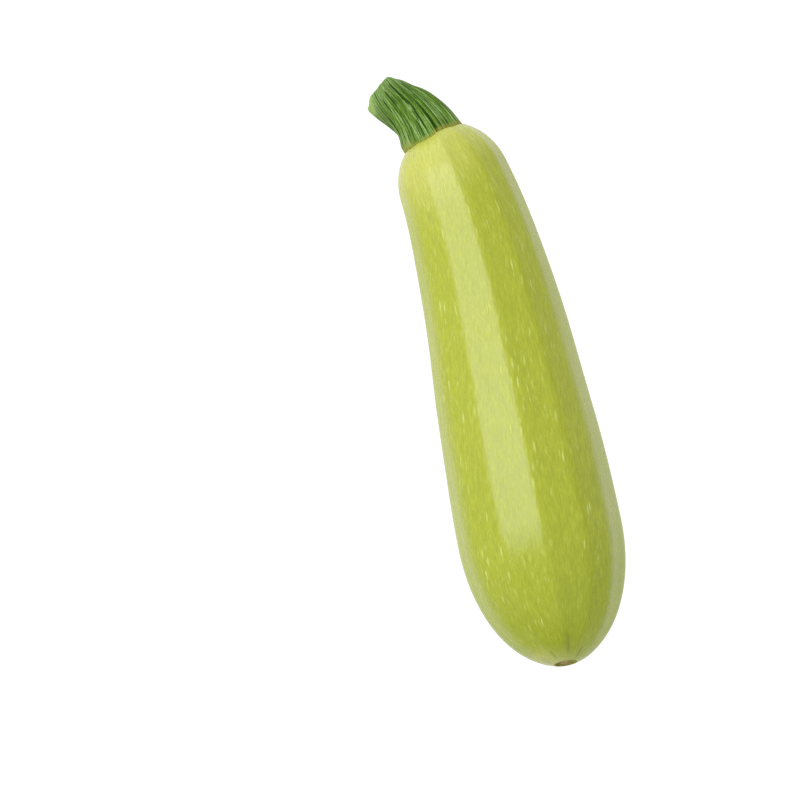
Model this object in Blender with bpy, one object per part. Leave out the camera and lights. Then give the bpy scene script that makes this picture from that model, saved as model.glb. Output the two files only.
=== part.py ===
"""A pale green zucchini lying on its side: the fruit, its cut stem and the dry scar left by the blossom.

Run it with: blender --background --python part.py
Metres, +Z up. The fruit lies along Y with its stem towards +Y, and rests on the plane Z = 0.

The fruit and the stem are grown the same way. A profile is spun about the Y axis, and each point of the
turned shape is then carried from its place along, around and out from that axis to the same place on a
bent spine, with the ridges and ribs raised from its surface by a formula.
"""

from math import asin, atan2, cos, exp, hypot, pi, radians, sin, sqrt, tan

import bmesh
import bpy
from mathutils import Vector

MM = 0.001

# Driving sizes of the fruit, measured along Y from the blossom end
FRUIT_LENGTH = 164.4 * MM
BELLY_RADIUS = 23.8 * MM
BELLY_AT = 0.242
NECK_RADIUS = 16.5 * MM
NECK_AT = 0.915
TAPER_EASE = 0.36
TIP_POWER = 2.05

# The bent spine: control points in even steps along Y, as offsets to the right (+X) and up (+Z)
SPINE_RIGHT = (0 * MM, 3.0 * MM, 1.5 * MM, 9.9 * MM, 0 * MM)
SPINE_UP = (0 * MM, -8.6 * MM, -11.0 * MM, -12.0 * MM, -13.0 * MM)

# The facets between the ridges, as the way each one faces: 0 is up and 90 is to the right
FACET_FACING = [radians(a) for a in (16, 43, 68, 102, 139, 180, 216, 251, 285, 315, 344.5)]
FACET_HOLLOW = 0.09
RIDGE_SHARPNESS = 50

# The seat that carries the stem, whose rim steps up or down at each facet, and the pit of the blossom scar
SEAT_RADIUS = 9.7 * MM
SEAT_STEPS = [h * MM for h in (-0.7, -0.9, -0.8, -0.2, -0.3, 0, 0.1, -0.3, -0.5, -0.9, -1.2)]
PIT_RADIUS = 3.5 * MM
PIT_DEPTH = 1.0 * MM
PIT_DRAFT = 0.2 * MM
FADE_LENGTH = 3.0 * MM
GAP = 0.3 * MM

# The stem, bent to the left and a little up from the seat
STEM_REACH = 19.5 * MM
STEM_SWAY = -9.1 * MM
STEM_RISE = 2.0 * MM
STEM_BASE_RADIUS = 9.3 * MM
STEM_CUT_RADIUS = 5.8 * MM
STEM_FLARE = 0.2 * MM
STEM_FLARE_SHARE = 0.08
STEM_TURN = radians(-33)
STEM_LIFT = radians(6)
STEM_FIRST_HANDLE = 9.0 * MM
STEM_LAST_HANDLE = 4.0 * MM

# Its ribs, which twist more and more towards the cut
RIB_COUNT = 5
RIB_HEIGHT = 0.075
SMALL_RIB_HEIGHT = 0.03
RIB_PHASE = radians(3)
RIB_MEAN = 1 - 2 / pi
RIB_TWIST = radians(65)
TWIST_POWER = 2.1

# Low swellings on its right and left sides: which way, how high, and where and how far along
RIGHT, LEFT = radians(90), radians(-90)
STEM_SWELLINGS = (
    (RIGHT, 0.12 * MM, 0.40, 0.13),
    (RIGHT, -0.12 * MM, 0.55, 0.08),
    (RIGHT, 0.36 * MM, 0.78, 0.13),
    (LEFT, 1.00 * MM, 0.14, 0.15),
    (LEFT, 0.10 * MM, 0.70, 0.12),
)

# Its cut end, rounded and slanting, so that the top reaches farthest
CUT_ROUNDING = 1.0 * MM
CUT_DISH = 0.5 * MM
CUT_SLANT = radians(18)
SLANT_BEGINS = 0.45

# The blossom scar, a dished corky disc
SCAR_RADIUS = PIT_RADIUS - GAP
SCAR_THICKNESS = 0.9 * MM
SCAR_DISH = 0.35 * MM
SCAR_LIP = 0.7 * MM

FLAT_SPOT_DEPTH = 0.35 * MM

# The fruit and the stem share one count, so that the seat and the stem's base step at the same angles
SEGMENTS = 80
FRUIT_TIP_RINGS = 11
FRUIT_BARREL_RINGS = 16
FRUIT_SHOULDER_RINGS = 9
STEM_RINGS = 14
SCAR_SEGMENTS = 30

FRUIT_COLOR = (0.47, 0.55, 0.08, 1)
STEM_COLOR = (0.10, 0.22, 0.04, 1)
SCAR_COLOR = (0.25, 0.16, 0.06, 1)


def clear_scene():
    for obj in list(bpy.data.objects):
        bpy.data.objects.remove(obj)


# The fruit's spine as points, which the stem's own spine carries on from
SPINE = [
    Vector((right, FRUIT_LENGTH * k / (len(SPINE_UP) - 1), up))
    for k, (right, up) in enumerate(zip(SPINE_RIGHT, SPINE_UP))
]


def frame_on(spine, u):
    """The point at share u of a Bezier curve, and the directions forward, right and up there."""
    points = spine
    while len(points) > 2:
        points = [a.lerp(b, u) for a, b in zip(points, points[1:])]
    forward = (points[1] - points[0]).normalized()
    right = forward.cross(Vector((0, 0, 1))).normalized()
    return points[0].lerp(points[1], u), forward, right, right.cross(forward)


SEAT_MIDDLE, SEAT_FORWARD, SEAT_RIGHT, SEAT_UP = frame_on(SPINE, 1)


def place_on(spine, u, angle, radius):
    """The point at this radius and angle round the spine. Angle 0 is up and a quarter turn is to the right."""
    middle, _, right, up = frame_on(spine, u)
    return middle + (up * cos(angle) + right * sin(angle)) * radius


def facet_pull(angle):
    """How strongly each facet shapes the skin at this angle: evenly on a ridge, or one of them alone."""
    turns = [angle - facing for facing in FACET_FACING]
    return [max(0.0, cos(a) - FACET_HOLLOW * sin(a) ** 2) ** RIDGE_SHARPNESS for a in turns]


def facets(angle):
    """A section of hollow facets with soft ridges between them: 1 on the facets and more on the ridges."""
    return sum(facet_pull(angle)) ** (-1 / RIDGE_SHARPNESS)


def seat_step(angle):
    """How far the rim of the stem's seat stands forward at this angle."""
    pull = facet_pull(angle)
    return sum(p * h for p, h in zip(pull, SEAT_STEPS)) / sum(pull)


def barrel(u):
    """The fruit's radius without its rounded ends: level at the belly, then an even taper to the neck."""
    w = (u - BELLY_AT) / (NECK_AT - BELLY_AT)
    eased = (sqrt(w * w + TAPER_EASE**2) - TAPER_EASE) / (sqrt(1 + TAPER_EASE**2) - TAPER_EASE)
    return BELLY_RADIUS + (NECK_RADIUS - BELLY_RADIUS) * eased


def blossom_end(rings):
    """(along, radius) up the rounded blossom end, from the mouth of the scar's pit to just before the belly."""
    semi_axis = BELLY_AT * FRUIT_LENGTH
    first = asin(PIT_RADIUS / BELLY_RADIUS)
    points = []
    for k in range(rings):
        a = first + (pi / 2 - first) * k / rings
        points.append((semi_axis * (1 - cos(a) ** (2 / TIP_POWER)), BELLY_RADIUS * sin(a)))
    return points


def shoulder(rings):
    """(along, radius) over the rounded shoulder, from the neck to the rim of the stem's seat."""
    last = pi / 2 - asin(SEAT_RADIUS / barrel(1))
    height = FRUIT_LENGTH * (1 - NECK_AT) / sin(last)
    points = []
    for k in range(rings + 1):
        a = last * k / rings
        along = FRUIT_LENGTH * NECK_AT + height * sin(a)
        points.append((along, barrel(along / FRUIT_LENGTH) * cos(a)))
    return points


def fruit_profile():
    """(along, radius) from the floor of the pit, over the fruit's side, to the middle of the seat."""
    tip = blossom_end(FRUIT_TIP_RINGS)
    floor = tip[0][0] + PIT_DEPTH
    steps = [BELLY_AT + (NECK_AT - BELLY_AT) * k / FRUIT_BARREL_RINGS for k in range(FRUIT_BARREL_RINGS)]
    side = [(u * FRUIT_LENGTH, barrel(u)) for u in steps]
    return (
        [(floor, 0), (floor, PIT_RADIUS - PIT_DRAFT)]
        + tip
        + side
        + shoulder(FRUIT_SHOULDER_RINGS)
        + [(FRUIT_LENGTH, 0)]
    )


def turned(profile, segments):
    """A closed mesh: the profile of (along, radius) points spun about the Y axis."""
    bm = bmesh.new()
    verts = [bm.verts.new((0, along, radius)) for along, radius in profile]
    edges = [bm.edges.new(pair) for pair in zip(verts, verts[1:])]
    bmesh.ops.spin(
        bm,
        geom=verts + edges,
        cent=(0, 0, 0),
        axis=(0, 1, 0),
        angle=2 * pi,
        steps=segments,
        use_merge=True,
    )
    bmesh.ops.remove_doubles(bm, verts=bm.verts, dist=0.001 * MM)
    bmesh.ops.recalc_face_normals(bm, faces=bm.faces)
    return bm


def grown(bm, place):
    """Carries each point of a turned mesh to place(along, angle, radius)."""
    for vert in bm.verts:
        x, along, z = vert.co
        vert.co = place(along, atan2(x, z), hypot(x, z))


def finished(bm, name, color, roughness):
    """The mesh as a named object, with a material of its own."""
    mesh = bpy.data.meshes.new(name)
    bm.to_mesh(mesh)
    bm.free()
    mesh.shade_smooth()
    mesh.set_sharp_from_angle(angle=radians(50))
    material = bpy.data.materials.new(name)
    material.use_nodes = True
    shader = material.node_tree.nodes["Principled BSDF"]
    shader.inputs["Base Color"].default_value = color
    shader.inputs["Roughness"].default_value = roughness
    mesh.materials.append(material)
    obj = bpy.data.objects.new(name, mesh)
    bpy.data.collections["zucchini"].objects.link(obj)
    return obj


def place_fruit(along, angle, radius):
    """A point of the fruit. The ridges fade out beside the pit, and the shoulder rises to the seat's rim."""
    u = along / FRUIT_LENGTH
    strength = 1 - exp(-max(0.0, along - PIT_DEPTH) / FADE_LENGTH)
    ridged = radius * (1 + (facets(angle) - 1) * strength)
    rise = max(0.0, (u - NECK_AT) / (1 - NECK_AT)) ** 5 * min(1.0, radius / SEAT_RADIUS)
    return place_on(SPINE, u, angle, ridged) + SEAT_FORWARD * seat_step(angle) * rise


def make_fruit():
    bm = turned(fruit_profile(), SEGMENTS)
    grown(bm, place_fruit)
    return finished(bm, "fruit", FRUIT_COLOR, 0.35)


def stem_spine():
    """Four control points from the seat to the cut: along the fruit's own end, then bent left and lifted."""
    start = SEAT_MIDDLE + SEAT_FORWARD * GAP
    end = SEAT_MIDDLE + SEAT_FORWARD * STEM_REACH + SEAT_RIGHT * STEM_SWAY + SEAT_UP * STEM_RISE
    level = SEAT_FORWARD * cos(STEM_TURN) + SEAT_RIGHT * sin(STEM_TURN)
    last = level * cos(STEM_LIFT) + SEAT_UP * sin(STEM_LIFT)
    return [start, start + SEAT_FORWARD * STEM_FIRST_HANDLE, end - last * STEM_LAST_HANDLE, end]


def stem_radius(w):
    """The stem's mean radius at this share of its length: flared at the fruit and tapering to the cut."""
    taper = STEM_BASE_RADIUS + (STEM_CUT_RADIUS - STEM_BASE_RADIUS) * w
    return taper + STEM_FLARE * exp(-w / STEM_FLARE_SHARE)


def stem_ribs(w, angle):
    """Strong angular ribs with two smaller ones between each two, which leave the mean radius as it is."""
    turn = angle - RIB_PHASE - RIB_TWIST * w**TWIST_POWER
    strong = 1 - abs(sin(turn * RIB_COUNT / 2))
    small = 1 - abs(sin(turn * RIB_COUNT + pi / 2))
    return 1 + RIB_HEIGHT * (strong - RIB_MEAN) + SMALL_RIB_HEIGHT * (small - RIB_MEAN)


def stem_swelling(w, angle):
    """How far the swellings raise the stem's side here."""
    return sum(
        height * max(0.0, cos(angle - facing)) ** 2 * exp(-(((w - middle) / reach) ** 2))
        for facing, height, middle, reach in STEM_SWELLINGS
    )


def soft_step(t):
    """0 up to t = 0 and 1 from t = 1, with an even curve between."""
    t = min(1.0, max(0.0, t))
    return t * t * (3 - 2 * t)


def make_stem():
    """Turned on the Y axis from 0 at the seat to 1 at the cut, then carried onto the stem's own spine."""
    spine = stem_spine()
    length = (spine[3] - spine[0]).length
    rounding, dish = CUT_ROUNDING / length, CUT_DISH / length
    side = [(1 - rounding) * k / STEM_RINGS for k in range(STEM_RINGS + 1)]
    cut_rim = stem_radius(1) - CUT_ROUNDING
    profile = (
        [(0, 0)]
        + [(w, stem_radius(w)) for w in side]
        + [(1 - rounding * (1 - sin(a)), cut_rim + CUT_ROUNDING * cos(a)) for a in (pi / 4, pi / 2)]
        + [(1 - dish, cut_rim * 0.6), (1 - dish, 0)]
    )

    def place_stem(w, angle, radius):
        swelling = stem_swelling(w, angle) * min(1.0, radius / cut_rim)
        slant = tan(CUT_SLANT) * radius * cos(angle) / length
        slant *= soft_step((w - SLANT_BEGINS) / (1 - SLANT_BEGINS))
        rise = (1 - w) ** 3 * min(1.0, radius / SEAT_RADIUS)
        shaped = radius * stem_ribs(w, angle) + swelling
        return place_on(spine, w + slant, angle, shaped) + SEAT_FORWARD * seat_step(angle) * rise

    bm = turned(profile, SEGMENTS)
    grown(bm, place_stem)
    return finished(bm, "stem", STEM_COLOR, 0.6)


def make_blossom_scar():
    """A thin disc in the pit, clear of the fruit all round, with a rounded lip and a sunken middle."""
    inner = blossom_end(1)[0][0] + PIT_DEPTH - GAP
    outer = inner - SCAR_THICKNESS
    profile = [
        (inner, 0),
        (inner, SCAR_RADIUS - PIT_DRAFT),
        (outer + SCAR_LIP / 2, SCAR_RADIUS),
        (outer, SCAR_RADIUS - SCAR_LIP / 2),
        (outer, SCAR_RADIUS - SCAR_LIP),
        (outer + SCAR_DISH, SCAR_RADIUS - 2 * SCAR_LIP),
        (outer + SCAR_DISH, 0),
    ]
    bm = turned(profile, SCAR_SEGMENTS)
    grown(bm, lambda along, angle, radius: place_on(SPINE, along / FRUIT_LENGTH, angle, radius))
    return finished(bm, "blossom_scar", SCAR_COLOR, 0.85)


def lay_down(fruit, others):
    """Sinks the zucchini a little into the plane Z = 0, presses the fruit flat there, and centres the box."""
    points = [vert.co for obj in (fruit, *others) for vert in obj.data.vertices]
    middle = [(min(p[i] for p in points) + max(p[i] for p in points)) / 2 for i in (0, 1)]
    lowest = min(vert.co.z for vert in fruit.data.vertices)
    shift = Vector((-middle[0], -middle[1], -lowest - FLAT_SPOT_DEPTH))
    for point in points:
        point += shift
    for vert in fruit.data.vertices:
        vert.co.z = max(vert.co.z, 0)


def main():
    clear_scene()
    group = bpy.data.collections.new("zucchini")
    bpy.context.scene.collection.children.link(group)
    fruit = make_fruit()
    lay_down(fruit, [make_stem(), make_blossom_scar()])


main()
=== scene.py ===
# %% [markdown]
# # A pale green zucchini on a white table
#
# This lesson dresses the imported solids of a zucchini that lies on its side. The solids already hold its
# main shapes: a bent fruit with eleven soft facets, a bent and ribbed stem, and a small scar at the blossom
# end. Here each of the three is made again with a much finer mesh, so that it can carry what the solids
# leave out: the fibres of the stem, the creases at the blossom end, the flecks and the waxy skin.

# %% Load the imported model
from math import asin, cos, pi, radians, sin, sqrt

import bmesh
import bpy
import numpy as np
from mathutils import Matrix, Vector


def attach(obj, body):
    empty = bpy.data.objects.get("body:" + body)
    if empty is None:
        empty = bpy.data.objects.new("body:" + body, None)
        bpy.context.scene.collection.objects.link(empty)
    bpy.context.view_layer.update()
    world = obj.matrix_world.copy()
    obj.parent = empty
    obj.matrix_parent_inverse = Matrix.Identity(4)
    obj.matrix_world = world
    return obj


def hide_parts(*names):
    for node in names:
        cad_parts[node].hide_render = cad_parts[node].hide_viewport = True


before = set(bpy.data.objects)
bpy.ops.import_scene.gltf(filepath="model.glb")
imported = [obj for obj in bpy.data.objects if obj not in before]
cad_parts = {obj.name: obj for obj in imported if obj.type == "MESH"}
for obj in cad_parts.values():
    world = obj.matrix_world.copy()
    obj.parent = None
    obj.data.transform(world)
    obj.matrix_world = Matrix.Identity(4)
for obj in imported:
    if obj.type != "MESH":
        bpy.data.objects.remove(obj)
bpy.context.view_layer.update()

MM = 0.001


def in_mm(lengths, digits=1):
    """These lengths as rounded millimetres, for the lines that are printed."""
    return [round(float(length) / MM, digits) for length in lengths]


# %% [markdown]
# ## The spine
#
# A zucchini grows as a bent tube. The simplest way to bend one is to model it straight, as a turned
# shape, and then to carry every point from its place along, around and out from the straight axis to the
# same place on a bent curve. The curve is drawn by a few control points that pull it their way. A point
# on it is found by going a share of the way from each control point to the next, and again between the
# points so found, until one segment is left. That segment also gives the direction forward, and from it
# come the directions to the right and up.

# %% A bent spine, for many points at once
FRUIT_LENGTH = 164.4 * MM
SPINE_RIGHT = (0 * MM, 3.0 * MM, 1.5 * MM, 9.9 * MM, 0 * MM)
SPINE_UP = (0 * MM, -8.6 * MM, -11.0 * MM, -12.0 * MM, -13.0 * MM)
SPANS = len(SPINE_RIGHT) - 1
SPINE = np.array([(SPINE_RIGHT[k], FRUIT_LENGTH * k / SPANS, SPINE_UP[k]) for k in range(SPANS + 1)])


def unit(vectors):
    """Each vector made one long."""
    return vectors / np.linalg.norm(vectors, axis=-1, keepdims=True)


def frame_on(spine, share):
    """The points at these shares of the way, and the directions forward, right and up there."""
    share = np.atleast_1d(share)[:, None]
    points = [point + 0 * share for point in spine]
    while len(points) > 2:
        points = [a + (b - a) * share for a, b in zip(points, points[1:])]
    forward = unit(points[1] - points[0])
    right = unit(np.cross(forward, (0, 0, 1)))
    return points[0] + (points[1] - points[0]) * share, forward, right, np.cross(right, forward)


def place_on(spine, share, angle, radius):
    """The points this far round and out from the spine. Angle 0 is up, and a quarter turn is to the right."""
    middle, _, right, up = frame_on(spine, share)
    return middle + (up * np.cos(angle)[:, None] + right * np.sin(angle)[:, None]) * radius[:, None]


SEAT_MIDDLE, SEAT_FORWARD, SEAT_RIGHT, SEAT_UP = [part[0] for part in frame_on(SPINE, 1)]
print("the spine runs from the blossom end to the stem's seat at", in_mm(SEAT_MIDDLE), "mm")

# %% [markdown]
# ## The facets
#
# Cut across, the fruit isn't round. It has eleven slightly hollow facets of uneven width with soft ridges
# between them, which run its whole length. One formula gives this section: each facet pulls at the
# surface in its own direction, the pulls are raised to a high power and added, and the sum is brought
# back down. On a facet one pull wins, on a ridge two are even, and the higher the power, the crisper the
# ridge. The same pulls also say how far the rim under the stem stands forward beside each facet.

# %% The section: one in the middle of a facet, and a little more on a ridge
FACET_FACING = np.radians((16, 43, 68, 102, 139, 180, 216, 251, 285, 315, 344.5))
FACET_HOLLOW = 0.09
RIDGE_SHARPNESS = 50
SEAT_STEPS = np.array((-0.7, -0.9, -0.8, -0.2, -0.3, 0, 0.1, -0.3, -0.5, -0.9, -1.2)) * MM
SOFTENING_TURNS = (-1, -0.6, -0.2, 0.2, 0.6, 1)


def facet_pull(angle):
    """How strongly each facet shapes the skin at these angles."""
    turn = np.atleast_1d(angle)[:, None] - FACET_FACING
    return np.maximum(0, np.cos(turn) - FACET_HOLLOW * np.sin(turn) ** 2) ** RIDGE_SHARPNESS


def facets(angle):
    """The section at these angles."""
    return facet_pull(angle).sum(1) ** (-1 / RIDGE_SHARPNESS)


def soft_facets(angle, softness):
    """The section with its ridges rounded: the mean over a small turn to both sides."""
    return sum(facets(angle + softness * turn) for turn in SOFTENING_TURNS) / len(SOFTENING_TURNS)


def seat_step(angle):
    """How far the rim under the stem stands forward at these angles. Below zero it stands back."""
    pull = facet_pull(angle)
    return pull @ SEAT_STEPS / pull.sum(1)


section = facets(np.linspace(0, 2 * pi, 720))
print("the section goes from", section.min().round(3), "to", section.max().round(3))

# %% [markdown]
# ## The fruit's profile
#
# Seen from the side, the fruit is widest near its blossom end, tapers evenly to a neck, and closes over
# a round shoulder to the seat that carries the stem. At the blossom end a small pit holds the scar. The
# profile is a row of points, close enough together for the fine surface detail that comes later.

# %% The profile of the fruit
BELLY_RADIUS = 23.8 * MM
BELLY_AT = 0.242
NECK_RADIUS = 16.5 * MM
NECK_AT = 0.915
TAPER_EASE = 0.36
TIP_POWER = 2.05
SEAT_RADIUS = 9.7 * MM
SEAT_RINGS = (0.9, 0.6, 0.3, 0)
PIT_RADIUS = 3.5 * MM
PIT_DEPTH = 1.0 * MM
PIT_DRAFT = 0.2 * MM
PIT_RING = 0.6
TIP_RINGS, BARREL_RINGS, SHOULDER_RINGS = 70, 120, 36


def barrel(share):
    """The fruit's radius without its rounded ends."""
    onward = (share - BELLY_AT) / (NECK_AT - BELLY_AT)
    eased = (np.sqrt(onward * onward + TAPER_EASE**2) - TAPER_EASE) / (sqrt(1 + TAPER_EASE**2) - TAPER_EASE)
    return BELLY_RADIUS + (NECK_RADIUS - BELLY_RADIUS) * eased


def blossom_end(rings):
    """(along, radius) from the mouth of the pit to just before the belly."""
    first = asin(PIT_RADIUS / BELLY_RADIUS)
    turn = first + (pi / 2 - first) * np.arange(rings) / rings
    along = BELLY_AT * FRUIT_LENGTH * (1 - np.cos(turn) ** (2 / TIP_POWER))
    return np.stack([along, BELLY_RADIUS * np.sin(turn)], 1)


def shoulder(rings):
    """(along, radius) over the shoulder, from the neck to the rim of the seat."""
    last = pi / 2 - asin(SEAT_RADIUS / barrel(1))
    turn = last * np.arange(rings + 1) / rings
    along = FRUIT_LENGTH * (NECK_AT + (1 - NECK_AT) * np.sin(turn) / sin(last))
    return np.stack([along, barrel(along / FRUIT_LENGTH) * np.cos(turn)], 1)


tip = blossom_end(TIP_RINGS)
pit_floor = tip[0][0] + PIT_DEPTH
pit = [(pit_floor, 0), (pit_floor, PIT_RADIUS * PIT_RING), (pit_floor, PIT_RADIUS - PIT_DRAFT)]
barrel_along = np.linspace(BELLY_AT, NECK_AT, BARREL_RINGS, endpoint=False)
side = np.stack([barrel_along * FRUIT_LENGTH, barrel(barrel_along)], 1)
seat = [(FRUIT_LENGTH, SEAT_RADIUS * ring) for ring in SEAT_RINGS]
fruit_profile = [*pit, *tip, *side, *shoulder(SHOULDER_RINGS), *seat]
print("the fruit's profile has", len(fruit_profile), "points")

# %% [markdown]
# ## Turning a profile, and growing it onto its spine
#
# The profile is drawn beside the axis and turned round it with the spin operator, but only for one
# sixteenth of a turn. That sector is then doubled and turned on by its own width, four times, which is
# many times faster than one full spin in hundreds of steps. The seams and the points on the axis are
# doubles, so they are merged, and only then are the normals made to point outwards. The turned mesh still
# knows how far along, around and out each of its points is. A placing function takes these three and
# gives the point's place on the bent fruit. It also gives what the materials will read there, in
# millimetres and shares of the way, and that is kept on the mesh as attributes.

# %% Spin, double and merge
SEAM_DISTANCE = 0.0005 * MM
DOUBLINGS = 4


def turned(profile, segments):
    """A closed mesh: the (along, radius) points turned about the Y axis, in a multiple of 16 segments."""
    bm = bmesh.new()
    verts = [bm.verts.new((0, along, radius)) for along, radius in profile]
    edges = [bm.edges.new(pair) for pair in zip(verts, verts[1:])]
    sector = 2 * pi / 2**DOUBLINGS
    bmesh.ops.spin(
        bm, geom=verts + edges, cent=(0, 0, 0), axis=(0, 1, 0), angle=sector, steps=segments // 2**DOUBLINGS
    )
    for _ in range(DOUBLINGS):
        copy = bmesh.ops.duplicate(bm, geom=bm.verts[:] + bm.edges[:] + bm.faces[:])["geom"]
        copied = [part for part in copy if isinstance(part, bmesh.types.BMVert)]
        bmesh.ops.rotate(bm, verts=copied, cent=(0, 0, 0), matrix=Matrix.Rotation(sector, 3, "Y"))
        sector *= 2
    bmesh.ops.remove_doubles(bm, verts=bm.verts, dist=SEAM_DISTANCE)
    bmesh.ops.recalc_face_normals(bm, faces=bm.faces)
    return bm


print("a turned shape is doubled", DOUBLINGS, "times, from", 360 / 2**DOUBLINGS, "degrees to a full turn")

# %% Bend, and keep what the materials read
# The straight axis starts at the origin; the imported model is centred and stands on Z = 0
BUILT_AT = np.array((-2.167, -92.502, 31.921)) * MM


def added(name, data):
    """A new object in the scene for this mesh, light or camera."""
    obj = bpy.data.objects.new(name, data)
    bpy.context.scene.collection.objects.link(obj)
    return obj


def keep(mesh, name, values):
    """Stores one number or one vector for each point, for the materials to read."""
    kind, field = ("FLOAT", "value") if values.ndim == 1 else ("FLOAT_VECTOR", "vector")
    mesh.attributes.new(name, kind, "POINT").data.foreach_set(field, values.astype(np.float32).ravel())


def grown(bm, name, place):
    """The turned mesh as an object. place(along, angle, radius) gives the points and their attributes."""
    mesh = bpy.data.meshes.new(name)
    bm.to_mesh(mesh)
    bm.free()
    flat = np.empty(len(mesh.vertices) * 3, np.float32)
    mesh.vertices.foreach_get("co", flat)
    x, along, z = flat.reshape(-1, 3).astype(float).T
    points, attributes = place(along, np.arctan2(x, z), np.hypot(x, z))
    points = points + BUILT_AT
    mesh.vertices.foreach_set("co", points.astype(np.float32).ravel())
    for key, values in attributes.items():
        keep(mesh, key, values)
    mesh.update()
    mesh.shade_smooth()
    print(name, "has", len(points), "points, from", in_mm(points.min(0)), "to", in_mm(points.max(0)), "mm")
    return added(name, mesh)


print("the straight axis starts at", in_mm(BUILT_AT), "mm in the packed model")

# %% [markdown]
# ## Small unevenness
#
# Nothing that grew is exact. A sum of a few dozen plane waves with random directions and phases gives a
# soft, endless swell that can be worked out at any point. It is used for the gentle waves in the skin
# and to let lines wander. The random numbers come from a fixed seed, so every run gives the same fruit.

# %% A soft random swell
SEED = 27
WAVES = 28
SHORTEST_WAVE, LONGEST_WAVE = 0.7, 1.6
dice = np.random.default_rng(SEED)


def swell(points, wavelength):
    """A smooth random height at each point, about one high and this many metres from crest to crest."""
    directions = unit(dice.normal(size=(WAVES, 3)))
    lengths = wavelength * dice.uniform(SHORTEST_WAVE, LONGEST_WAVE, WAVES)
    phases = dice.uniform(0, 2 * pi, WAVES)
    return np.cos(points @ (directions * (2 * pi / lengths)[:, None]).T + phases).sum(1) * sqrt(2 / WAVES)


sample = swell(dice.uniform(-0.1, 0.1, (2000, 3)), 20 * MM)
print("a swell spreads", round(float(sample.std()), 2), "about zero")

# %% [markdown]
# ## Lines pressed into a surface
#
# The creases at the blossom end and the fibres of the stem are the same thing at two sizes: narrow
# grooves that run lengthwise, fade in and out, and wander a little. Each is a row of five numbers, and
# one function presses a whole list of them in. Across a groove its depth follows a bell curve.

# %% Creases where the skin puckers into the blossom scar
FADE_SHARE = 0.3
# Which way each lies in degrees, then its half width, its depth, and how far along it begins and ends, in mm
CREASE_ROWS = (
    (39, 0.30, 0.24, 0.5, 3.4),
    (7, 0.70, 0.16, 1.0, 7.0),
    (-27, 0.50, 0.12, 0.5, 3.4),
    (-62, 0.45, 0.10, 0.4, 2.6),
    (82, 0.45, 0.14, 0.2, 4.2),
    (120, 0.50, 0.10, 0.2, 5.5),
    (155, 0.45, 0.16, 0.1, 3.2),
    (198, 0.50, 0.12, 0.2, 5.8),
    (231, 0.45, 0.15, 0.1, 3.4),
    (268, 0.50, 0.10, 0.2, 4.4),
)
creases = [(radians(facing), *(length * MM for length in lengths)) for facing, *lengths in CREASE_ROWS]


def smooth(low, high, values):
    """0 below low and 1 above high, with a soft step between."""
    t = np.clip((values - low) / (high - low), 0, 1)
    return t * t * (3 - 2 * t)


def pressed(lines, angle, along, radius, wander):
    """The depth of all lines at each point. A line fades in and out over a share of its length."""
    depth = np.zeros_like(angle)
    for middle, width, deep, first, last in lines:
        turn = (angle - middle + pi) % (2 * pi) - pi
        fade = (last - first) * FADE_SHARE
        lasting = smooth(first, first + fade, along) * (1 - smooth(last - fade, last, along))
        depth += deep * np.exp(-(((turn * radius + wander) / width) ** 2)) * lasting
    return depth


print(len(creases), "creases")

# %% [markdown]
# ## The fruit
#
# The skin follows the section and the profile, and the shoulder rises to the uneven rim under the stem.
# Three things are added that are too fine for the solids: a swell of a tenth of a millimetre, which keeps
# the highlight from being ruler-straight, the creases, and ridges that are softer on the left flank and
# near the blossom end than elsewhere. The side on which it lies is pressed flat.
#
# The skin's pattern grew with it, so it doesn't simply follow the shape. It winds slowly round the fruit.
# It is read at one even radius all along, which keeps its grain as coarse at the neck as at the belly, and
# at the blossom end it goes on over the round tip at nearly the pace of the skin.

# %% Model the fruit
FRUIT_SEGMENTS = 384
FADE_LENGTH = 3.0 * MM
RIM_POWER = 5
SWELL_HEIGHT, SWELL_LENGTH = 0.10 * MM, 16 * MM
SWELL_STRETCH = (1, 0.35, 1)
SWELL_RISES, SWELL_ENDS = 1 * MM, 6 * MM
WANDER, WANDER_LENGTH = 0.15 * MM, 7 * MM
CREASE_SCALE = 0.3 * MM
CRISPEST_RIDGE, SOFTEST_RIDGE = radians(1), radians(7)
FLANK = (0.6, 0.9)
TIP_SOFTNESS, TIP_SOFT = 0.3, (0.10, 0.30)
PATTERN_TURN = radians(32)
SKIN_PATTERN_RADIUS, POLE_RADIUS = 20 * MM, 4 * MM
TIP_STRETCH = 0.55


def on_axis(along, angle, radius):
    """The points before they are bent, round the straight axis."""
    return np.stack([np.sin(angle) * radius, along, np.cos(angle) * radius], 1)


def skin_pattern(along, angle, radius):
    """Where the skin's pattern is read, in metres."""
    even = SKIN_PATTERN_RADIUS * (1 - np.exp(-radius / POLE_RADIUS))
    onward = along - np.where(along / FRUIT_LENGTH < BELLY_AT, (BELLY_RADIUS - radius) * TIP_STRETCH, 0)
    return on_axis(onward, angle - PATTERN_TURN * along / FRUIT_LENGTH, even)


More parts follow.
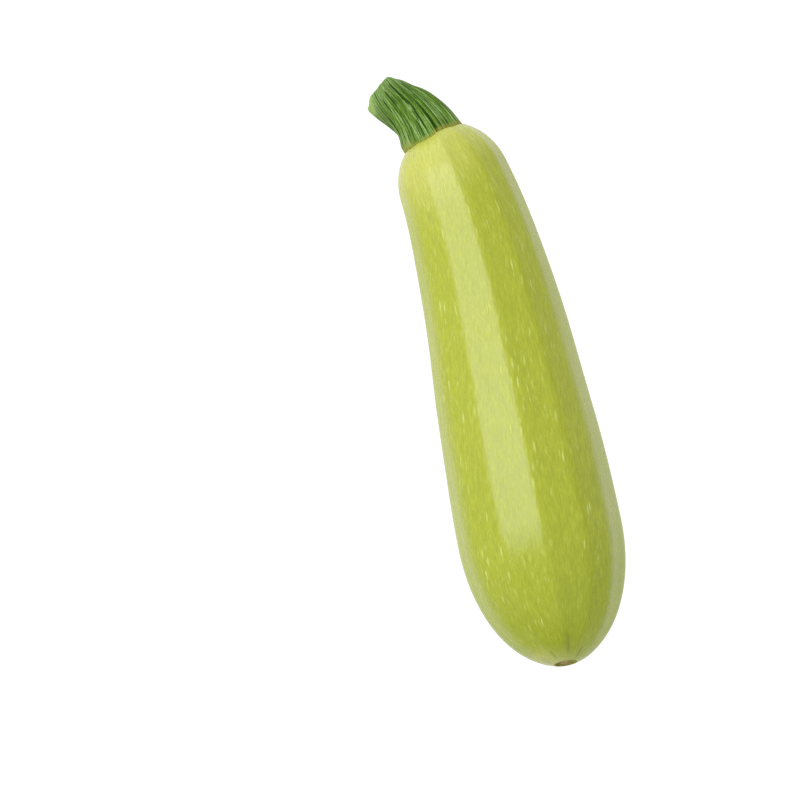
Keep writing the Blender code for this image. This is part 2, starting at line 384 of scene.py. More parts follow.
def place_fruit(along, angle, radius):
    share = along / FRUIT_LENGTH
    straight = on_axis(along, angle, radius)
    faceted = 1 - np.exp(-np.maximum(0, along - PIT_DEPTH) / FADE_LENGTH)
    flank = smooth(*FLANK, -np.sin(angle))
    near_tip = TIP_SOFTNESS * (1 - smooth(*TIP_SOFT, share))
    softness = SOFTEST_RIDGE * np.maximum(flank, near_tip) + CRISPEST_RIDGE
    past_pit = np.clip((radius - PIT_RADIUS) / SWELL_RISES, 0, 1)
    before_seat = np.clip((FRUIT_LENGTH - along) / SWELL_ENDS, 0, 1)
    waves = swell(straight * SWELL_STRETCH, SWELL_LENGTH) * SWELL_HEIGHT * past_pit * before_seat
    wander = swell(straight, WANDER_LENGTH) * WANDER
    outside_pit = radius >= PIT_RADIUS * 0.99
    puckers = pressed(creases, angle, along, radius, wander) * outside_pit
    ridged = radius * (1 + (soft_facets(angle, softness) - 1) * faceted) + waves - puckers
    rise = np.maximum(0, (share - NECK_AT) / (1 - NECK_AT)) ** RIM_POWER * np.minimum(1, radius / SEAT_RADIUS)
    points = place_on(SPINE, share, angle, ridged) + SEAT_FORWARD * (seat_step(angle) * rise)[:, None]
    points[:, 2] = np.maximum(points[:, 2], -BUILT_AT[2])
    pattern = skin_pattern(along, angle, radius)
    return points, {"pattern": pattern / MM, "crease": puckers / CREASE_SCALE, "share_along": share}


fruit = grown(turned(fruit_profile, FRUIT_SEGMENTS), "zucchini_fruit", place_fruit)

# %% [markdown]
# ## The stem
#
# The stem is what is left of the stalk that held the fruit: five strong ribs with smaller ones between
# them, bent to one side and cut off on a slant. Ribs and fibres twist together, more and more towards the
# cut. The ribs, the twist and the low swellings of its two sides come from the same formulas as in the
# solids, and so does the spine, which is a curve of the same kind that starts square to the seat.

# %% The stem's spine
STEM_REACH = 19.5 * MM
STEM_SWAY = -9.1 * MM
STEM_RISE = 2.0 * MM
STEM_TURN = radians(-33)
STEM_LIFT = radians(6)
STEM_FIRST_HANDLE = 9.0 * MM
STEM_LAST_HANDLE = 4.0 * MM
STEM_GAP = 0.3 * MM

stem_start = SEAT_MIDDLE + SEAT_FORWARD * STEM_GAP
stem_end = SEAT_MIDDLE + SEAT_FORWARD * STEM_REACH + SEAT_RIGHT * STEM_SWAY + SEAT_UP * STEM_RISE
stem_level = SEAT_FORWARD * cos(STEM_TURN) + SEAT_RIGHT * sin(STEM_TURN)
stem_last = stem_level * cos(STEM_LIFT) + SEAT_UP * sin(STEM_LIFT)
handles = (stem_start + SEAT_FORWARD * STEM_FIRST_HANDLE, stem_end - stem_last * STEM_LAST_HANDLE)
STEM_SPINE = np.array([stem_start, *handles, stem_end])
STEM_LENGTH = float(np.linalg.norm(stem_end - stem_start))
print("the stem is", *in_mm([STEM_LENGTH]), "mm from seat to cut")

# %% The stem's radius, twist, ribs and swellings
STEM_BASE_RADIUS = 9.3 * MM
STEM_CUT_RADIUS = 5.8 * MM
STEM_FLARE = 0.2 * MM
STEM_FLARE_SHARE = 0.08
RIB_COUNT = 5
RIB_HEIGHT = 0.075
SMALL_RIB_HEIGHT = 0.03
RIB_PHASE = radians(3)
RIB_MEAN = 1 - 2 / pi
RIB_TWIST = radians(65)
TWIST_POWER = 2.1
RIGHT, LEFT = radians(90), radians(-90)
# Low swellings: which way, how high, and where and how far along
STEM_SWELLINGS = (
    (RIGHT, 0.12 * MM, 0.40, 0.13),
    (RIGHT, -0.12 * MM, 0.55, 0.08),
    (RIGHT, 0.36 * MM, 0.78, 0.13),
    (LEFT, 1.00 * MM, 0.14, 0.15),
    (LEFT, 0.10 * MM, 0.70, 0.12),
)


def stem_radius(share):
    """The mean radius of the stem, with a small flare at its base."""
    taper = STEM_BASE_RADIUS + (STEM_CUT_RADIUS - STEM_BASE_RADIUS) * share
    return taper + STEM_FLARE * np.exp(-share / STEM_FLARE_SHARE)


def untwisted(share, angle):
    """The angle at which the fibre that passes here left the fruit."""
    return angle - RIB_TWIST * np.clip(share, 0, 1) ** TWIST_POWER


def stem_ribs(base_angle):
    """The stem's section as a share of its mean radius."""
    strong = 1 - np.abs(np.sin((base_angle - RIB_PHASE) * RIB_COUNT / 2))
    small = 1 - np.abs(np.sin((base_angle - RIB_PHASE) * RIB_COUNT + pi / 2))
    return 1 + RIB_HEIGHT * (strong - RIB_MEAN) + SMALL_RIB_HEIGHT * (small - RIB_MEAN)


def stem_swelling(share, angle):
    """How far the stem stands out at its swellings."""
    return sum(
        height * np.maximum(0, np.cos(angle - facing)) ** 2 * np.exp(-(((share - middle) / reach) ** 2))
        for facing, height, middle, reach in STEM_SWELLINGS
    )


print("its radius at the base and at the cut:", in_mm(stem_radius(np.array((0, 1)))), "mm")

# %% [markdown]
# ## The stem's fibres and folds
#
# The skin of the stem is all lengthwise fibres. Each groove between two of them is a line of its own, with
# its own place, width, depth and length drawn at random. The deeper folds beside the ribs are placed one
# by one, as on the real stem. All of them are pressed into the mesh and follow the twist.

# %% The fibres and the folds, as lines
FIBRE_COUNT = 84
FIBRE_WIDTHS, FIBRE_DEPTHS = (0.09, 0.20), (0.04, 0.22)
FIBRE_STARTS, FIBRE_ENDS = (-0.8, 0.6), (0.6, 1.9)
fibres = [
    (
        2 * pi * (k + dice.uniform(-0.5, 0.5)) / FIBRE_COUNT,
        dice.uniform(*FIBRE_WIDTHS) * MM,
        dice.uniform(*FIBRE_DEPTHS) * MM,
        dice.uniform(*FIBRE_STARTS),
        dice.uniform(*FIBRE_ENDS),
    )
    for k in range(FIBRE_COUNT)
]
# Where each leaves the fruit in degrees, its half width and depth in mm, and the shares of the stem's length
# where it begins and ends. A depth below zero raises a thin ridge.
FOLD_ROWS = (
    (7, 0.32, 0.60, -0.6, 0.46),
    (2.5, 0.20, -0.16, -0.5, 0.40),
    (-8.5, 0.20, 0.34, 0.08, 0.44),
    (-12.5, 0.14, 0.24, 0.20, 0.45),
    (-5.5, 0.16, 0.24, 0.34, 0.56),
    (-9.5, 0.26, 0.50, 0.44, 0.84),
    (-14.5, 0.18, -0.18, 0.42, 0.68),
    (-36, 0.22, 0.38, 0.56, 0.84),
    (-31.5, 0.16, 0.22, 0.58, 0.72),
    (-50, 0.20, 0.30, 0.02, 0.26),
    (-44, 0.20, 0.30, -0.3, 0.13),
    (-24.5, 0.15, 0.20, 0.04, 0.24),
    (-17, 0.16, 0.22, 0.02, 0.32),
    (-76, 0.28, 0.34, 0.26, 0.66),
    (-57, 0.18, 0.24, 0.56, 0.82),
    (13, 0.20, 0.20, 0.40, 0.54),
    (24, 0.20, 0.26, 0.50, 0.70),
    (19, 0.20, 0.30, -0.3, 0.12),
    (30, 0.22, 0.40, -0.3, 0.13),
    (36.5, 0.22, 0.42, -0.3, 0.14),
    (62, 0.26, 0.36, -0.3, 0.70),
    (92, 0.26, 0.40, 0.10, 0.90),
    (118, 0.30, 0.48, -0.5, 0.75),
    (150, 0.24, 0.34, 0.20, 1.00),
    (182, 0.30, 0.44, -0.5, 0.80),
    (214, 0.24, 0.32, 0.10, 0.90),
    (248, 0.30, 0.46, -0.5, 0.70),
)
folds = [(radians(angle), width * MM, depth * MM, *shares) for angle, width, depth, *shares in FOLD_ROWS]
print(len(fibres), "fibres and", len(folds), "folds")

# %% [markdown]
# ## Modelling the stem
#
# The stem's profile is its side, a rounded edge and a slightly dished cut. The placing function turns it
# into the ribbed and grooved shape, leans the cut, and sinks the base a little into the fruit, so that no
# gap shows. Its pattern too is read at one even radius, so the fibres stay as fine at the cut as at the
# base. The attribute "cut" marks the face of the cut and the pale strip where its edge is worn.

# %% The profile of the stem
STEM_SEGMENTS = 480
STEM_RINGS = 130
CUT_ROUNDING = 1.0 * MM
CUT_DISH = 0.5 * MM

rounding, dish = CUT_ROUNDING / STEM_LENGTH, CUT_DISH / STEM_LENGTH
stem_side = np.linspace(0, 1 - rounding, STEM_RINGS)
cut_rim = stem_radius(1) - CUT_ROUNDING
turns = np.radians(range(10, 91, 10))
cut_edge = [(1 - rounding * (1 - sin(turn)), cut_rim + CUT_ROUNDING * cos(turn)) for turn in turns]
cut_face = [(1 - dish * 0.3, cut_rim * 0.85), *[(1 - dish, cut_rim * ring) for ring in (0.6, 0.3, 0)]]
stem_base = [(0, 0), (0, STEM_BASE_RADIUS * 0.6)]
stem_profile = [*stem_base, *zip(stem_side, stem_radius(stem_side)), *cut_edge, *cut_face]
print("the stem's profile has", len(stem_profile), "points")

# %% Model the stem
STEM_PATTERN_RADIUS = 7.5 * MM
FIBRE_STRETCH, FIBRE_WANDER, FIBRE_WANDER_LENGTH = (1, 0.3, 1), 0.10 * MM, 5 * MM
CUT_SLANT, SLANT_BEGINS = radians(18), 0.45
CUT_UNEVEN, CUT_UNEVEN_LENGTH, UNEVEN_BEGINS = 0.16 * MM, 4 * MM, 0.85
STEM_SINK, SINK_ENDS = 0.2 * MM, 0.15
STEM_RISE_POWER = 3
# Where the grooves begin, outwards, and where they end, along
GROOVES_OUT, GROOVES_END = (0.80, 0.97), (0.97, 1.0)
# Where the face of the cut begins, along, and where it ends, outwards
FACE_ALONG, FACE_OUT = (0.93, 0.99), (0.90, 0.99)
# The worn, pale part of the cut's edge: the way it faces, and how much of the stem's side it takes there
WORN_FACING = radians(-75)
WORN_FROM, WORN_SPREAD, WORN_SOFT = 1.21, 0.43, 0.10


def cut_mask(share, angle, out):
    """1 on the face of the cut and on its worn edge, and 0 on the rest of the stem."""
    worn_from = WORN_FROM - WORN_SPREAD * np.maximum(0, np.cos(angle - WORN_FACING))
    worn = smooth(0, WORN_SOFT, share - worn_from)
    face = smooth(*FACE_ALONG, share) * (1 - smooth(*FACE_OUT, out))
    return np.maximum(worn, face)


def place_stem(share, angle, radius):
    shell = stem_radius(np.clip(share, 0, 1))
    out = np.clip(radius / shell, 0, 1)
    base_angle = untwisted(share, angle)
    pattern = on_axis(share * STEM_LENGTH, base_angle, out * STEM_PATTERN_RADIUS)
    wander = swell(pattern * FIBRE_STRETCH, FIBRE_WANDER_LENGTH) * FIBRE_WANDER
    on_side = smooth(*GROOVES_OUT, out) * (1 - smooth(*GROOVES_END, share))
    grooves = pressed(fibres + folds, base_angle, share, shell, wander) * on_side
    swelling = stem_swelling(share, angle) * np.minimum(1, radius / cut_rim)
    shaped = radius * stem_ribs(base_angle) + swelling - grooves
    uneven = swell(pattern * (1, 0, 1), CUT_UNEVEN_LENGTH) * CUT_UNEVEN * smooth(UNEVEN_BEGINS, 1, share)
    slant = np.tan(CUT_SLANT) * radius * np.cos(angle) * smooth(SLANT_BEGINS, 1, share) + uneven
    rise = np.clip(1 - share, 0, 1) ** STEM_RISE_POWER * np.minimum(1, radius / SEAT_RADIUS)
    sunk = (STEM_SINK + STEM_GAP) * (1 - smooth(0, SINK_ENDS, share))
    points = place_on(STEM_SPINE, share + slant / STEM_LENGTH, angle, shaped)
    points += SEAT_FORWARD * (seat_step(angle) * rise)[:, None] - SEAT_FORWARD * sunk[:, None]
    attributes = {"pattern": pattern / MM, "groove": grooves / MM, "share_along": share}
    return points, {**attributes, "cut": cut_mask(share, angle, out)}


stem = grown(turned(stem_profile, STEM_SEGMENTS), "zucchini_stem", place_stem)

# %% [markdown]
# ## The blossom scar
#
# Where the flower dropped off, a dry corky patch about as wide as a pea stays in the tip of the fruit.
# It is turned like the rest, with a rounded lip and a sunken middle, and then roughened so that its edge
# is ragged and its face crumbly.

# %% The profile of the scar
SCAR_RADIUS = 3.42 * MM
SCAR_THICKNESS = 0.9 * MM
SCAR_DISH = 0.35 * MM
SCAR_LIP = 0.7 * MM
SCAR_CLEAR = 0.1 * MM
LIP_RINGS, FACE_RINGS = 7, 14

scar_inner = blossom_end(1)[0][0] + PIT_DEPTH - SCAR_CLEAR
scar_outer = scar_inner - SCAR_THICKNESS
scar_back = [(scar_inner, 0), (scar_inner, SCAR_RADIUS - PIT_DRAFT)]
lip = [
    (scar_outer + SCAR_LIP / 2 * (1 - sin(turn)), SCAR_RADIUS - SCAR_LIP / 2 * (1 - cos(turn)))
    for turn in np.linspace(0, pi / 2, LIP_RINGS)
]
hollow = [
    (scar_outer + SCAR_DISH * (1 - cos(turn)) / 2, SCAR_RADIUS - SCAR_LIP / 2 - SCAR_LIP * 1.5 * turn / pi)
    for turn in np.linspace(pi / 8, pi * 7 / 8, LIP_RINGS)
]
scar_face = [(scar_outer + SCAR_DISH, ring) for ring in np.linspace(SCAR_RADIUS - 2 * SCAR_LIP, 0, FACE_RINGS)]
scar_profile = [*scar_back, *lip, *hollow, *scar_face]
print("the scar's profile has", len(scar_profile), "points")

# %% Model the scar
SCAR_SEGMENTS = 128
COARSE_CRUMBS, COARSE_HEIGHT = 1.1 * MM, 0.07 * MM
FINE_CRUMBS, FINE_HEIGHT = 0.5 * MM, 0.03 * MM
TATTERS, TATTER_REACH = 2.2 * MM, 0.15 * MM
TATTERED = (0.6, 1)
CRUMBLED = (0.3, 0.8)


def place_scar(along, angle, radius):
    straight = on_axis(along, angle, radius)
    out = radius / SCAR_RADIUS
    crumble = swell(straight, COARSE_CRUMBS) * COARSE_HEIGHT + swell(straight, FINE_CRUMBS) * FINE_HEIGHT
    ragged = radius + (swell(straight * (1, 0, 1), TATTERS) * TATTER_REACH) * smooth(*TATTERED, out)
    on_face = smooth(*CRUMBLED, (scar_inner - along) / SCAR_THICKNESS)
    points = place_on(SPINE, (along - crumble * on_face) / FRUIT_LENGTH, angle, ragged)
    return points, {"pattern": straight / MM, "out": out}


scar = grown(turned(scar_profile, SCAR_SEGMENTS), "zucchini_blossom_scar", place_scar)

# %% [markdown]
# ## Shader sums in plain Python
#
# A material is a graph of nodes, and sums written as nodes are hard to read. This small class wraps one
# output of a node. Python's own signs on it add the Math nodes, and every other node comes from node(),
# which makes it, sets its settings, and then gives its sockets their values or links.

# %% A socket that can be added, subtracted and multiplied
class Wire:
    def __init__(self, tree, socket=None):
        self.tree, self.socket = tree, socket

    def node(self, kind, settings=None, inputs=None, output=0):
        """The output of a new node."""
        node = self.tree.nodes.new("ShaderNode" + kind)
        for name, value in (settings or {}).items():
            setattr(node, name, value)
        for name, value in (inputs or {}).items():
            if isinstance(value, Wire):
                self.tree.links.new(value.socket, node.inputs[name])
            else:
                node.inputs[name].default_value = value
        return Wire(self.tree, node.outputs[output])

    def math(self, operation, *values):
        return self.node("Math", {"operation": operation}, dict(enumerate(values)))

    def __add__(self, other):
        return self.math("ADD", self, other)

    def __sub__(self, other):
        return self.math("SUBTRACT", self, other)

    def __rsub__(self, other):
        return self.math("SUBTRACT", other, self)

    def __mul__(self, other):
        return self.math("MULTIPLY", self, other)

    __radd__, __rmul__ = __add__, __mul__

    def step(self, low, high):
        """0 below low and 1 above high, with a soft step between. It falls where low is above high."""
        ends = {"Value": self, "From Min": low, "From Max": high, "To Min": 0, "To Max": 1}
        return self.node("MapRange", {"interpolation_type": "SMOOTHSTEP"}, ends)

    def number(self, name):
        """A number that was kept on the mesh."""
        return self.node("Attribute", {"attribute_name": name}, output=2)

    def vector(self, name):
        """A vector that was kept on the mesh."""
        return self.node("Attribute", {"attribute_name": name}, output=1)

    def across(self):
        """How far to the right this place is."""
        return self.node("SeparateXYZ", {}, {0: self})

    def length(self):
        return self.node("VectorMath", {"operation": "LENGTH"}, {0: self}, output=1)

    def scaled(self, factors):
        """This vector with each of its directions stretched."""
        return self.node("VectorMath", {"operation": "MULTIPLY"}, {0: self, 1: factors})

    def noise(self, scale, detail=2.0, roughness=0.5):
        """Soft noise from 0 to 1 at this place, with about scale crests to the millimetre."""
        inputs = {"Vector": self, "Scale": scale, "Detail": detail, "Roughness": roughness}
        return self.node("TexNoise", {}, inputs)

    def mixed(self, first, second):
        """The first colour where this value is 0, and the second where it is 1."""
        return self.node("Mix", {"data_type": "RGBA"}, {0: self, 6: first, 7: second}, output=2)

    def bump(self, strength, distance):
        return self.node("Bump", {}, {"Height": self, "Strength": strength, "Distance": distance})


def finish_of(name, **constants):
    """A new material: its tree as a wire to start from, and a function that feeds the shader's sockets."""
    material = bpy.data.materials.new(name)
    material.use_nodes = True
    shader = material.node_tree.nodes["Principled BSDF"]
    for key, value in constants.items():
        shader.inputs[key.replace("_", " ")].default_value = value

    def feed(key, wire):
        material.node_tree.links.new(wire.socket, shader.inputs[key])

    return material, Wire(material.node_tree), feed


print("a wire adds, subtracts and multiplies")

# %% [markdown]
# ## The skin
#
# The skin of a pale zucchini is thin, waxy and a little uneven in colour: greener at the blossom end,
# paler at the shoulder and streaked along its length. The pale of the shoulder is partly the skin's own
# and partly painted sheen, and it reaches lower on the lit left side. The streaks are noise on the pattern's
# own coordinates, squeezed along the length, so that a round grain becomes a streak. Every colour is a mix
# of two by a mask, and most masks are a soft step in the share of the way from the blossom end.

# %% Skin material: greens and streaks
GREEN = (0.262, 0.312, 0.003, 1)
YELLOW = (0.296, 0.337, 0.009, 1)
PALE_AND_PAINTED_SHEEN = (0.405, 0.422, 0.070, 1)

skin, start, feed = finish_of("zucchini_skin", IOR=1.5)
place = start.vector("pattern")
share = start.number("share_along")
mottling = place.scaled((1, 0.4, 1)).noise(0.09, detail=2)
streaks = place.scaled((1, 0.15, 1)).noise(1.8, detail=4, roughness=0.65)
bands = place.scaled((1, 0.08, 1)).noise(0.4, detail=2)
# Green at the blossom end, yellower towards the stem, and a pale shoulder, partly the skin's own pale and
# partly painted sheen, that reaches lower on the left, the side the softboxes light
color = (share + (mottling - 0.5) * 0.2).step(0.45, -0.05).mixed(YELLOW, GREEN)
color = (share - place.across() * 0.003 + (mottling - 0.5) * 0.1).step(0.86, 1.02).mixed(color, PALE_AND_PAINTED_SHEEN)
shade = (mottling - 0.5) * 0.08 + (streaks - 0.5) * 0.62 + (bands - 0.5) * 0.05 + 1.01
color = start.node("VectorMath", {"operation": "SCALE"}, {0: color, 3: shade})
print("greens and streaks:", len(skin.node_tree.nodes), "nodes")

# %% [markdown]
# ## Flecks
#
# Short pale flecks are sprinkled over the skin. They are the middles of the cells of a cell pattern,
# squeezed along the length like the streaks. The surface cuts the cells at different depths, which gives
# flecks of all sizes, and they gather in some patches and leave others nearly bare. At the very tip the
# skin turns straw-coloured, partly its own colour and partly painted light, which reaches farther up on the
# lit left side. Down in its creases it turns a darker olive by their depth, partly the skin's own darker
# lines and partly painted shade.

# %% Skin material: flecks, tip and creases
FLECK = (0.480, 0.540, 0.110, 1)
STRAW_AND_PAINTED_LIGHT = (0.440, 0.450, 0.100, 1)
CREASE_OLIVE_AND_SHADE = (0.120, 0.145, 0.004, 1)
FLECK_SIZE = 0.25
FLECK_CORE = FLECK_SIZE * 0.3


def flecks(to_the_mm, squeeze):
    """Short pale dashes: squeezed cells, filled near their middles."""
    cells = {"Vector": place.scaled((1, squeeze, 1)), "Scale": to_the_mm, "Randomness": 1.0}
    return start.node("TexVoronoi", {"feature": "F1"}, cells).step(FLECK_SIZE, FLECK_CORE)


sprinkled = mottling.step(0.36, 0.56) * share.step(1.02, 0.82) * share.step(0.01, 0.06)
dashes = (flecks(0.62, 0.16) + flecks(0.9, 0.2) * 0.7) * sprinkled
color = (dashes * 0.75 + streaks.step(0.54, 0.74) * 0.22).mixed(color, FLECK)
# Painted light in part: the straw tip is the skin's own colour, and it reaches farther up on the left, the lit
# side
near_tip = (share + place.across() * 0.0008 + (bands - 0.5) * 0.03).step(0.022, -0.012)
color = (near_tip * 0.8).mixed(color, STRAW_AND_PAINTED_LIGHT)
# Painted shade in part: the creases are darkened to olive by their depth
color = (start.number("crease") * 0.8).mixed(color, CREASE_OLIVE_AND_SHADE)
feed("Base Color", color)
print("with flecks:", len(skin.node_tree.nodes), "nodes")

# %% [markdown]
# ## The sheen of the skin
#
# The wax gives a satin gloss. The streaks and a finer grain go into the roughness, so the sheen is broken
# up lengthwise. They are also a very low relief, a tenth of a millimetre and less, and the flecks stand
# in it as tiny blisters.

# %% Skin material: gloss and relief
SKIN_ROUGHNESS = 0.265
SKIN_RELIEF = 0.12 * MM
fine = place.scaled((1, 0.3, 1)).noise(2.0, detail=3, roughness=0.6)
feed("Roughness", (streaks - 0.5) * 0.4 + (fine - 0.5) * 0.3 + (mottling - 0.5) * 0.06 + SKIN_ROUGHNESS)
feed("Normal", (streaks + fine * 0.4 + dashes * 0.9).bump(1.0, SKIN_RELIEF))
print("skin:", len(skin.node_tree.nodes), "nodes")

# %% [markdown]
# ## The stem's skin
#
# The stem is a deeper green. Its fibres are pale where they stand proud and nearly black-green between,
# partly their own colour and partly painted highlight on the raised tops and painted shade in the gaps, and
# the grooves that were pressed into the mesh are painted dark by their depth, as painted shade. Here and
# there it has an olive tinge, and towards the cut it turns paler.

# %% Stem material: fibres
STEM_GREEN = (0.088, 0.184, 0.006, 1)
STEM_DARK_AND_SHADE = (0.016, 0.060, 0.000, 1)
STEM_PALE_AND_HIGHLIGHT = (0.260, 0.395, 0.150, 1)
STEM_OLIVE = (0.120, 0.145, 0.012, 1)

stem_skin, start, feed = finish_of("zucchini_stem_skin", IOR=1.4, Specular_IOR_Level=0.3)
place = start.vector("pattern")
share = start.number("share_along")
threads = place.scaled((1, 0.03, 1)).noise(3.0, detail=3, roughness=0.75)
strands = place.scaled((1, 0.05, 1)).noise(0.7, detail=2, roughness=0.5)
grain = place.scaled((1, 0.3, 1)).noise(2.5, detail=2)
patches = place.scaled((1, 0.35, 1)).noise(0.35, detail=2)
fibre_tone = threads * 0.85 + strands * 0.15 + (grain - 0.5) * 0.12
# Partly painted highlight and shade: the tone follows the same noise that raises the fibres in the relief,
# pale on top and dark between
color = fibre_tone.step(0.50, 0.62).mixed(STEM_GREEN, STEM_PALE_AND_HIGHLIGHT)
color = fibre_tone.step(0.49, 0.39).mixed(color, STEM_DARK_AND_SHADE)
color = (patches.step(0.5, 0.75) * 0.4).mixed(color, STEM_OLIVE)
color = ((share + (strands - 0.5) * 0.3).step(0.55, 0.95) * 0.35).mixed(color, STEM_PALE_AND_HIGHLIGHT)
# Painted shade: the grooves pressed into the mesh are darkened by their depth
color = start.number("groove").step(0.02, 0.20).mixed(color, STEM_DARK_AND_SHADE)
print("fibres:", len(stem_skin.node_tree.nodes), "nodes")

# %% [markdown]
# ## The cut and the base of the stem
#
# The cut and its worn edge have dried to a pale green. Inside is a soft pale pith, and round it stand the
# ends of the vessels in a broken ring of darker green. At the other end, a ragged olive margin with a
# brown edge, thin as paper, runs round the base where it meets the fruit, with a straw-coloured patch
# above it on the left.

# %% Stem material: cut, patch and margin
CUT_PALE = (0.300, 0.430, 0.130, 1)
PITH = (0.480, 0.540, 0.270, 1)
VESSEL_GREEN = (0.150, 0.260, 0.050, 1)
STEM_STRAW = (0.270, 0.310, 0.060, 1)
MARGIN_OLIVE = (0.200, 0.215, 0.022, 1)
MARGIN_BROWN = (0.110, 0.090, 0.010, 1)
STEM_RELIEF = 0.15 * MM

from_middle = place.scaled((1, 0, 1)).length() + grain
vessels = place.scaled((1, 0, 1)).noise(0.45, detail=1).step(0.44, 0.62)
vessel_ring = from_middle.step(3.4, 4.6) * from_middle.step(6.6, 5.4)
face = from_middle.step(5.0, 3.2).mixed(CUT_PALE, PITH)
face = (vessel_ring * vessels * 0.7).mixed(face, VESSEL_GREEN)
color = (start.number("cut") * 0.85 * (threads * 0.8 + 0.5)).mixed(color, face)
ragged = share + (threads - 0.5) * 0.05 + (strands - 0.5) * 0.08
left_side = place.across().step(-4.5, -6.5)
color = (ragged.step(0.20, 0.06) * left_side * 0.6).mixed(color, STEM_STRAW)
color = (ragged.step(0.060, 0.020) * 0.85).mixed(color, MARGIN_OLIVE)
color = (ragged.step(0.018, 0.004) * 0.8).mixed(color, MARGIN_BROWN)
feed("Base Color", color)
feed("Roughness", threads * 0.2 + 0.5)
feed("Normal", (threads + strands * 0.4).bump(0.7, STEM_RELIEF))
print("stem skin:", len(stem_skin.node_tree.nodes), "nodes")

# %% [markdown]
# ## The scar's cork
#
# The scar is dry and dull. Across its face it goes from dark brown on the left through tan to an olive
# brown on the right. Its ragged edge is dark where the face is brown or tan, and the outermost rim takes
# on the green of the skin.

# %% Cork material
CORK_TAN = (0.340, 0.235, 0.085, 1)
CORK_BROWN = (0.150, 0.108, 0.016, 1)
CORK_OLIVE = (0.215, 0.205, 0.028, 1)
RIM_GREEN = (0.270, 0.290, 0.030, 1)
CORK_RELIEF = 0.2 * MM

cork, start, feed = finish_of("zucchini_cork", IOR=1.4)
place = start.vector("pattern")
crumbs = place.noise(1.3, detail=4, roughness=0.65)
rightward = place.across() + (crumbs - 0.5) * 2.5
edge = start.number("out") + (crumbs - 0.5) * 0.5
color = rightward.step(-2.0, -0.9).mixed(CORK_BROWN, CORK_TAN)
color = rightward.step(0.3, 1.3).mixed(color, CORK_OLIVE)
color = (crumbs.step(0.50, 0.36) * 0.8).mixed(color, CORK_BROWN)
color = (edge.step(0.62, 0.80) * rightward.step(1.5, -0.5)).mixed(color, CORK_BROWN)
color = edge.step(0.74, 0.98).mixed(color, RIM_GREEN)
feed("Base Color", color)
feed("Roughness", crumbs * 0.2 + 0.75)
feed("Normal", crumbs.bump(0.8, CORK_RELIEF))
print("cork:", len(cork.node_tree.nodes), "nodes")

# %% [markdown]
# ## Dressing the model
#
# Each fine piece stands for its solid, which is hidden, rides on the one body of the model, and takes the
# material made for it above; the slot of the record that the solid has is only printed beside it.

# %% Put the pieces in place of the solids
for piece, node, slot, material in (
    (fruit, "fruit", "skin", skin),
    (stem, "stem", "stem", stem_skin),
    (scar, "blossom_scar", "scar", cork),
):
    piece.data.materials.append(material)
    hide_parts(node)
    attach(piece, "root")
    print(piece.name, "stands for", node, "in slot", slot)

# %% [markdown]
# ## The table
#
# The zucchini lies on a white light table. Under and around the fruit the plate glows a little brighter
# than white paper. That lights the fruit from below, gives it its pale rims and swallows its shadow.
# Farther out it fades to a soft grey, which leaves the darker band above each rim.

# %% The light table
TABLE_SIZE = 6.0
# A hair below the flat spot that rests on it, because two surfaces in one plane flicker
TABLE_TOP = -0.05 * MM
GLOW_NEAR, GLOW_FAR = (1.10, 1.10, 1.10, 1), (0.62, 0.62, 0.62, 1)
GLOW_REACH, GLOW_FADES_BY = 0.21, 0.42
UNLIT = {"Base_Color": (0.02, 0.02, 0.02, 1), "Roughness": 0.9, "Specular_IOR_Level": 0}

bm = bmesh.new()
level = Matrix.Translation((0, 0, TABLE_TOP))
bmesh.ops.create_grid(bm, x_segments=1, y_segments=1, size=TABLE_SIZE / 2, matrix=level)
table_mesh = bpy.data.meshes.new("light_table")
bm.to_mesh(table_mesh)
bm.free()
plate, start, feed = finish_of("light_plate", Emission_Strength=1.0, **UNLIT)
distance = start.node("TexCoord", output=3).length()
feed("Emission Color", distance.step(GLOW_REACH, GLOW_FADES_BY).mixed(GLOW_NEAR, GLOW_FAR))
table_mesh.materials.append(plate)
table = added("light_table", table_mesh)
print("the table is", TABLE_SIZE, "m wide")

# %% [markdown]
# ## The light
#
# One softbox hangs above and to the left of the fruit, a little towards its stem. Its reflection lies
# along the facet beside the top ridge and ends crisply at that ridge. A second, weaker one stands beyond
# the stem and brightens the shoulder. A wide scrim overhead and a white card on the left fill the
# shadows, and pale walls do the rest.

# %% Softboxes, scrim, card and walls
WALL_GLOW = 0.64


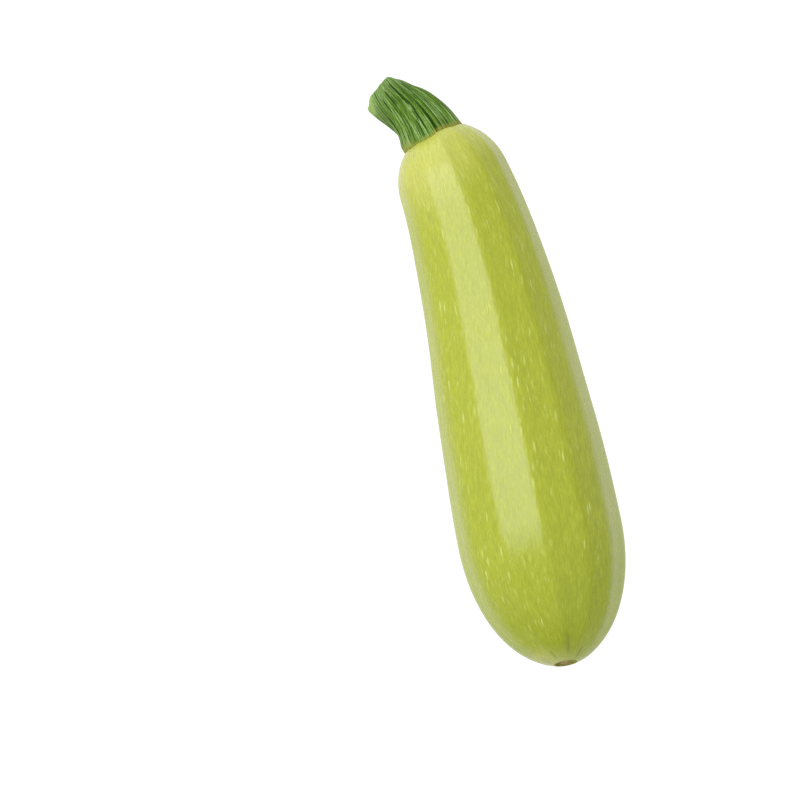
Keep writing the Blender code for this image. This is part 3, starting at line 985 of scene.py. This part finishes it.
def soft_light(name, towards, distance, size, glow):
    """An even rectangle of light that faces the origin, glow times as bright as white paper."""
    data = bpy.data.lights.new(name, "AREA")
    data.shape = "RECTANGLE"
    data.size, data.size_y = size
    data.energy = glow * pi * size[0] * size[1]
    towards = Vector(towards).normalized()
    light = added(name, data)
    light.location = towards * distance
    light.rotation_euler = towards.to_track_quat("Z", "Y").to_euler()
    light.visible_camera = False
    print(name, size, "m at", distance, "m,", round(data.energy, 1), "W")


soft_light("softbox", (-0.476, 0.335, 0.813), 1.2, (0.62, 0.66), 5.0)
soft_light("end softbox", (-0.25, 0.866, 0.433), 1.2, (0.62, 1.00), 1.8)
soft_light("scrim", (0, 0, 1), 1.5, (5, 5), 0.44)
soft_light("card", (-1, 0, 0.25), 1.0, (1.2, 0.5), 0.7)

world = bpy.data.worlds.new("white_walls")
world.use_nodes = True
world.node_tree.nodes["Background"].inputs["Color"].default_value = (1, 1, 1, 1)
world.node_tree.nodes["Background"].inputs["Strength"].default_value = WALL_GLOW
bpy.context.scene.world = world
bpy.context.scene.view_settings.view_transform = "Standard"
print("walls that glow", WALL_GLOW, "times as bright as white paper")

# %% [markdown]
# ## The camera
#
# The camera looks down from almost straight above, through a long lens. It leans a few degrees towards
# the blossom end, and it is turned so that the stem end leans to the left in the picture.

# %% Camera
CAMERA_LEAN = radians(6.3)
CAMERA_TURN = radians(13.59)
CAMERA_DISTANCE = 1.0
FRAME_WIDTH = 239.6 * MM
SENSOR_WIDTH = 36
LOOK_AT = Vector((-30.92, -3.90, 22.81)) * MM

towards_top = Vector((sin(CAMERA_TURN), cos(CAMERA_TURN), 0))
overhead = Vector((0, 0, 1))
back = overhead * cos(CAMERA_LEAN) - towards_top * sin(CAMERA_LEAN)
upward = towards_top * cos(CAMERA_LEAN) + overhead * sin(CAMERA_LEAN)
camera_data = bpy.data.cameras.new("camera")
camera_data.sensor_width = SENSOR_WIDTH
camera_data.lens = SENSOR_WIDTH * CAMERA_DISTANCE / FRAME_WIDTH
camera = added("camera", camera_data)
camera.location = LOOK_AT + back * CAMERA_DISTANCE
camera.rotation_euler = Matrix((upward.cross(back), upward, back)).transposed().to_euler()
bpy.context.scene.camera = camera
print("camera at", in_mm(camera.location, 0), "mm with a", round(camera_data.lens, 1), "mm lens")
